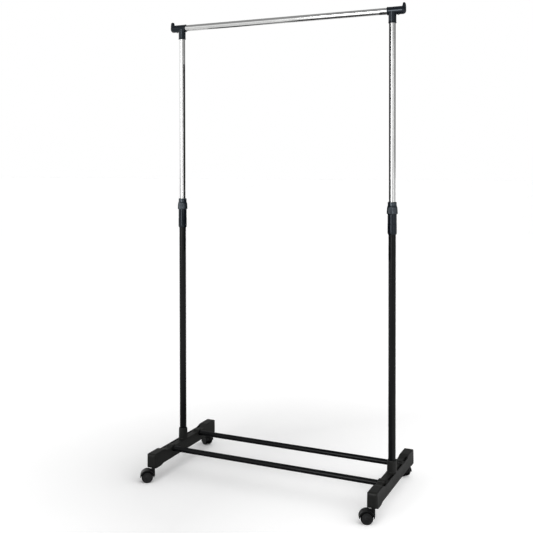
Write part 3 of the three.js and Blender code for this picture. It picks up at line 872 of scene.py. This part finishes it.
TRAIL = 19  # from the stem's axis to the wheels' axle
WHEEL_R = 18
WHEEL_IN, WHEEL_OUT = 3.1, 13.3  # faces of a wheel, from the caster's middle
TREAD_FROM = WHEEL_R - 2.6  # the tread and the rim's edge lie beyond this radius; they take the painted-shade nylon
WHEEL_GAP = 1.6  # between a wheel and the fender
AXLE_BORE_R = 2.3
AXLE_BOSS_R = 5
HOOD_R = 22.4
HOOD_HALF = 13.6  # half its width
WEB = 2.6  # half the thickness of the wall between the wheels
NECK_R = 5.5
NECK_TOP = 45.3
STEM_R = 4
STEM_FLOOR = 35.7  # of the hood's bore for the stem
STEM_GROOVE = (70, 74)  # for the grip ring
STEM_GROOVE_DEPTH = 0.8


def caster_matrix(corner):
    """From a caster drawn with its stem on Z and its wheels towards +X to its place in the rack."""
    stem, axle = centre(f"caster_stem_{corner}"), centre(f"caster_axle_{corner}")
    heading = math.atan2(axle.y - stem.y, axle.x - stem.x)
    return Matrix.Translation((stem.x, stem.y, 0)) @ Matrix.Rotation(heading, 4, "Z")


def hood_pattern():
    """The fender over both wheels, the web between them and the neck round the stem."""
    steps = 40
    turns = [math.pi * k / steps for k in range(steps + 1)]
    arc = [(TRAIL + HOOD_R * math.cos(a), WHEEL_R + HOOD_R * math.sin(a)) for a in turns]
    bracket = [
        (0, WHEEL_R + 4), (TRAIL, WHEEL_R + 4), (TRAIL, WHEEL_R + HOOD_R),
        (10, NECK_TOP - 4, 3), (0, NECK_TOP - 3),
    ]
    whole = combine(
        prism("hood", arc, "y", -HOOD_HALF, HOOD_HALF), "UNION",
        rod("axle_boss", AXLE_BOSS_R, -WEB, WEB, "y", (TRAIL, 0, WHEEL_R)),
        rod("neck", NECK_R, WHEEL_R, NECK_TOP),
        prism("bracket", bracket, "y", -4, 4),
    )
    space = WHEEL_R + WHEEL_GAP
    cuts = [
        rod("space_a", space, WEB, HOOD_HALF + 2, "y", (TRAIL, 0, WHEEL_R), 96),
        rod("space_b", space, -HOOD_HALF - 2, -WEB, "y", (TRAIL, 0, WHEEL_R), 96),
        rod("axle_bore", AXLE_BORE_R, -WEB - 1, WEB + 1, "y", (TRAIL, 0, WHEEL_R), 24),
        rod("stem_bore", STEM_R + 0.3, STEM_FLOOR, NECK_TOP + 1, sides=32),
    ]
    return moulded(combine(whole, "DIFFERENCE", *cuts), voxel=0.36, rounds=3)


def wheel_pattern():
    """The wheel on the +Y side: rounded tread, raised rim, shallow dish and a domed hub cap."""
    out, rim, bore = WHEEL_OUT, WHEEL_R, AXLE_BORE_R
    corners = [
        (0, out - 2), (bore, out - 2, 0.2), (bore, WHEEL_IN, 0.2), (rim, WHEEL_IN, 0.9),
        (rim, out, 2.2), (rim - 2.7, out, 0.6), (rim - 3.4, out - 1.3, 0.5),
        (6.6, out - 1.1, 0.5), (5.8, out - 0.3, 0.6), (0, out - 0.1),
    ]
    wheel = lathe("wheel", corners, "y", (TRAIL, 0, WHEEL_R), sides=96)
    wheel.data.materials.append(WHEEL_FACE)
    wheel.data.materials.append(SHADED_WHEEL_TREAD)
    # Faces beyond TREAD_FROM take the second material, the tread's painted shade.
    for face in wheel.data.polygons:
        from_axle = math.hypot(face.center.x / MM - TRAIL, face.center.z / MM - WHEEL_R)
        face.material_index = int(from_axle > TREAD_FROM)
    return wheel


def stem_pattern(low, high):
    """The stem: a flange between the hood's neck and the foot, and a groove for the grip ring."""
    flange, foot_gap = NECK_R + 0.5, BLOCK_BOTTOM - 0.3
    seat = NECK_TOP + 0.3
    groove_low, groove_high = STEM_GROOVE
    slim = STEM_R - STEM_GROOVE_DEPTH
    corners = [
        (0, low), (STEM_R, low, 0.3), (STEM_R, seat), (flange, seat, 0.2), (flange, foot_gap, 0.2),
        (STEM_R, foot_gap), (STEM_R, groove_low, 0.2), (slim, groove_low, 0.2),
        (slim, groove_high, 0.2), (STEM_R, groove_high, 0.2), (STEM_R, high - 2, 1),
        (2, high, 0.8), (0, high),
    ]
    return lathe("stem", corners, sides=48)


def add_casters():
    hood, wheel = hood_pattern(), wheel_pattern()
    low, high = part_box(f"caster_stem_{CORNERS[0]}")
    stem = stem_pattern(low.z / MM, high.z / MM)
    to_axle = Matrix.Translation((TRAIL * MM, 0, 0))
    flip = to_axle @ Matrix.Rotation(math.pi, 4, "Z") @ to_axle.inverted()
    for corner in CORNERS:
        place = caster_matrix(corner)
        finished(copy_of(stem, f"stem_{corner}", place), ZINC, "base", "zinc_steel",
                 f"caster_stem_{corner}")
        finished(copy_of(hood, f"hood_{corner}", place), HOOD_PLASTIC, f"caster_{corner}",
                 "caster_plastic", f"caster_hood_{corner}")
        for which, turn in (("front", Matrix.Identity(4)), ("back", flip)):
            obj = shade(copy_of(wheel, f"wheel_{corner}_{which}", place @ turn))
            finished(obj, WHEEL_FACE, f"wheel_{corner}_{which}", "caster_plastic",
                     f"caster_wheel_{corner}_{which}")
    for pattern in (hood, wheel, stem):
        discard(pattern)


# ---- Inner parts that keep their CAD shape ------------------------------------------------------

INNER_FINISHES = {
    "collet": NYLON, "guide_plug": NYLON, "post_plug": ZINC, "grip_ring": ZINC, "caster_axle": ZINC,
}


def finish_inner_parts():
    for name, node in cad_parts.items():
        for start, material in INNER_FINISHES.items():
            if name.startswith(start):
                node.data.materials.clear()
                node.data.materials.append(material)


# ---- Studio -------------------------------------------------------------------------------------

CAMERA_PLACE = (1.0463, -2.4067, 1.0066)
CAMERA_TURN_DEG = (89.173, 0.076, 25.286)
CAMERA_LENS_MM = 55.276
CAMERA_SHIFT = (0.0205, -0.1643)
SENSOR_MM = 36


def add_camera():
    data = bpy.data.cameras.new("camera")
    data.sensor_width = SENSOR_MM
    data.lens = CAMERA_LENS_MM
    data.shift_x, data.shift_y = CAMERA_SHIFT
    camera = bpy.data.objects.new("camera", data)
    camera.location = CAMERA_PLACE
    camera.rotation_euler = [math.radians(a) for a in CAMERA_TURN_DEG]
    bpy.context.scene.collection.objects.link(camera)
    bpy.context.scene.camera = camera


PAINTED_FLOOR_REFLECTION = ((0.19, 0.19, 0.19), (0.74, 0.74, 0.74))  # painted shade and light of the floor as reflections see it: in the rack's shade, and lit
FLOOR_PAINTED_LIGHT = (0.04, 0.25)  # painted light: emission of the floor in the rack's painted shade, and of the lit floor
SHADE_ACROSS = (0.40, 0.60)  # the painted shade that reflections see ends here at the right, in metres
SHADE_AWAY = (0.55, 1.1)  # and here in every direction
PAINTED_LIGHT_ACROSS = (-0.15, 0.4)  # the painted light rises here towards the right
PAINTED_LIGHT_AWAY = (0.45, 1.1)  # and here in every direction
FLOOR_HALF_M = 60


def add_floor():
    """A pale floor that looks white and shows the rack's soft shadow: partly cast by the overhead
    light, partly painted shade, since its glow is weaker near the rack and reflections see it
    darker there.
    """
    bm = bmesh.new()
    bmesh.ops.create_grid(bm, x_segments=8, y_segments=8, size=FLOOR_HALF_M)
    floor = new_object("floor", bm)
    n = Nodes("studio_floor")
    cloud = n.noise(0.8, 3)
    direct = n.add("ShaderNodeLightPath").outputs["Is Camera Ray"]
    pale = n.mixed(n.spread(cloud, 0.3, 0.7, 0, 1), (0.90, 0.90, 0.90), (0.93, 0.93, 0.93))
    across = n.add("ShaderNodeSeparateXYZ")
    away = n.add("ShaderNodeVectorMath", operation="LENGTH")
    n.link(n.object_coordinates, across.inputs[0])
    n.link(n.object_coordinates, away.inputs[0])

    def painted_light_amount(right, far):
        rightwards = n.spread(across.outputs["X"], *right, 0, 1)
        outwards = n.spread(away.outputs["Value"], *far, 0, 1)
        return n.calculated("MAXIMUM", rightwards, outwards)

    # Painted shade: rays other than the camera's see the floor dark near the rack and pale further
    # out.
    reflected = n.mixed(painted_light_amount(SHADE_ACROSS, SHADE_AWAY), *PAINTED_FLOOR_REFLECTION)
    n.surface(n.mixed(direct, reflected, pale), n.spread(cloud, 0.3, 0.7, 0.75, 0.85))
    # Painted light: the camera sees the floor glow, less near the rack and at its left, which
    # paints shade round the base.
    painted_glow = n.spread(painted_light_amount(PAINTED_LIGHT_ACROSS, PAINTED_LIGHT_AWAY), 0, 1, *FLOOR_PAINTED_LIGHT)
    n.link(n.product(direct, painted_glow), n.shader.inputs["Emission Strength"])
    n.constant("Specular IOR Level", 0.1)
    n.constant("Emission Color", (1, 1, 1, 1))
    floor.data.materials.append(n.material)


SOFT_FILL = 0.45  # light from all round
TO_RIGHT = (0.94, 0.34)  # roughly towards the picture's right, over the floor
# Where each ramp of the reflected brightness starts and ends, and its two levels.
SIDE_RAMP = (-0.15, 0.7, 1.0, 0.36)  # from the left to the right
CEILING_RAMP = (0.15, 0.6, 1.0, 0.3)  # from near the horizon to high above
REAR_RAMP = (0.35, 0.85, 1.0, 0.3)  # from the sides to behind the rack


def add_world():
    """White to the eye; in reflections a bright side at the left and a grey one at the right."""
    world = bpy.data.worlds.new("studio")
    bpy.context.scene.world = world
    world.use_nodes = True
    tree = world.node_tree
    tree.nodes.clear()
    link = tree.links.new

    def math_node(operation, *inputs):
        node = tree.nodes.new("ShaderNodeMath")
        node.operation = operation
        for socket, value in zip(node.inputs, inputs):
            if isinstance(value, (int, float)):
                socket.default_value = value
            else:
                link(value, socket)
        return node.outputs[0]

    def ramp(value, low, high, to_low, to_high):
        node = tree.nodes.new("ShaderNodeMapRange")
        node.interpolation_type = "SMOOTHSTEP"
        for socket, number in zip(node.inputs[1:5], (low, high, to_low, to_high)):
            socket.default_value = number
        link(value, node.inputs["Value"])
        return node.outputs["Result"]

    direction = tree.nodes.new("ShaderNodeSeparateXYZ")
    link(tree.nodes.new("ShaderNodeTexCoord").outputs["Generated"], direction.inputs[0])
    x, y, z = direction.outputs
    across, along = (math_node("MULTIPLY", part, k) for part, k in zip((x, y), TO_RIGHT))
    towards_right = math_node("ADD", across, along)
    side = ramp(towards_right, *SIDE_RAMP)
    ceiling = ramp(z, *CEILING_RAMP)
    rear = ramp(y, *REAR_RAMP)
    reflected = math_node("MULTIPLY", math_node("MULTIPLY", side, ceiling), rear)
    path = tree.nodes.new("ShaderNodeLightPath")

    def chosen(factor, usual, special):
        mix = tree.nodes.new("ShaderNodeMix")
        link(factor, mix.inputs["Factor"])
        link(usual, mix.inputs["A"])
        mix.inputs["B"].default_value = special
        return mix.outputs["Result"]

    level = chosen(path.outputs["Is Diffuse Ray"], reflected, SOFT_FILL)
    level = chosen(path.outputs["Is Camera Ray"], level, 1.0)
    background = tree.nodes.new("ShaderNodeBackground")
    link(level, background.inputs["Color"])
    link(background.outputs[0], tree.nodes.new("ShaderNodeOutputWorld").inputs["Surface"])


OVERHEAD_POWER = 1.55
OVERHEAD_SPREAD_DEG = 85
OVERHEAD_TURN_DEG = (2, 34, 0)


def add_overhead():
    """A very soft light from above and from the right, which no surface mirrors."""
    sun = bpy.data.lights.new("overhead", "SUN")
    sun.energy = OVERHEAD_POWER
    sun.angle = math.radians(OVERHEAD_SPREAD_DEG)
    overhead = bpy.data.objects.new("overhead", sun)
    overhead.rotation_euler = [math.radians(a) for a in OVERHEAD_TURN_DEG]
    overhead.visible_glossy = False
    bpy.context.scene.collection.objects.link(overhead)


STRIP_HEIGHT_M = 1.7
STRIP_TARGET = (0, 0, 0.9)


def add_strip(name, place, width, power):
    """A tall narrow soft box, turned to the rack; it draws the bright lines on the tubes."""
    light = bpy.data.lights.new(name, "AREA")
    light.shape = "RECTANGLE"
    light.size, light.size_y = width, STRIP_HEIGHT_M
    light.energy = power
    lamp = bpy.data.objects.new(name, light)
    lamp.location = place
    towards = Vector(STRIP_TARGET) - lamp.location
    lamp.rotation_euler = towards.to_track_quat("-Z", "Y").to_euler()
    lamp.visible_camera = False
    bpy.context.scene.collection.objects.link(lamp)


def add_lights():
    add_overhead()
    add_strip("strip_front", place=(-0.60, -3.2, 1.35), width=0.7, power=22)
    add_strip("strip_side", place=(2.82, -1.72, 1.2), width=0.4, power=3.2)


# Dark cards in place of the clothes that the photographed tubes mirror, as opposite corners in
# metres: an upright one inside each post and a flat one under the rail. They are painted
# reflections, seen by mirror rays only.
FLAGS = {
    "flag_left": ((-0.33, -0.02, 0.72), (-0.32, 0.31, 1.36)),
    "flag_right": ((0.32, -0.08, 0.72), (0.33, 0.31, 1.45)),
    "flag_low": ((-0.25, -0.54, 0.80), (0.16, 0.40, 0.81)),
}


def add_flag(name, low, high):
    """A dark card that only reflections see: a painted reflection, which draws the dark edges of
    the bright tubes.
    """
    bm = bmesh.new()
    bmesh.ops.create_cube(bm, size=1)
    size = Vector(high) - Vector(low)
    bmesh.ops.scale(bm, vec=size, verts=bm.verts)
    bmesh.ops.translate(bm, vec=Vector(low) + size / 2, verts=bm.verts)
    flag = new_object(name, bm)
    n = Nodes(name + "_painted_reflection")
    n.surface(
        n.mixed(n.noise(40), (0.02, 0.02, 0.021), (0.03, 0.03, 0.03)),
        n.spread(n.noise(200), 0.3, 0.7, 0.8, 0.95),
    )
    flag.data.materials.append(n.material)
    for kind in ("camera", "diffuse", "transmission", "volume_scatter", "shadow"):
        setattr(flag, f"visible_{kind}", False)


# ---- Assembly -----------------------------------------------------------------------------------

add_camera()
add_tubes()
for side in SIDES:
    collar_sleeve(side)
    lock_nut(side)
    hex_bolt(side)
    plain_washer(side)
add_t_connectors()
add_screws()
add_feet()
add_casters()
finish_inner_parts()
add_floor()
add_world()
add_lights()
for name, corners in FLAGS.items():
    add_flag(name, *corners)
bpy.context.scene.view_settings.view_transform = "Standard"
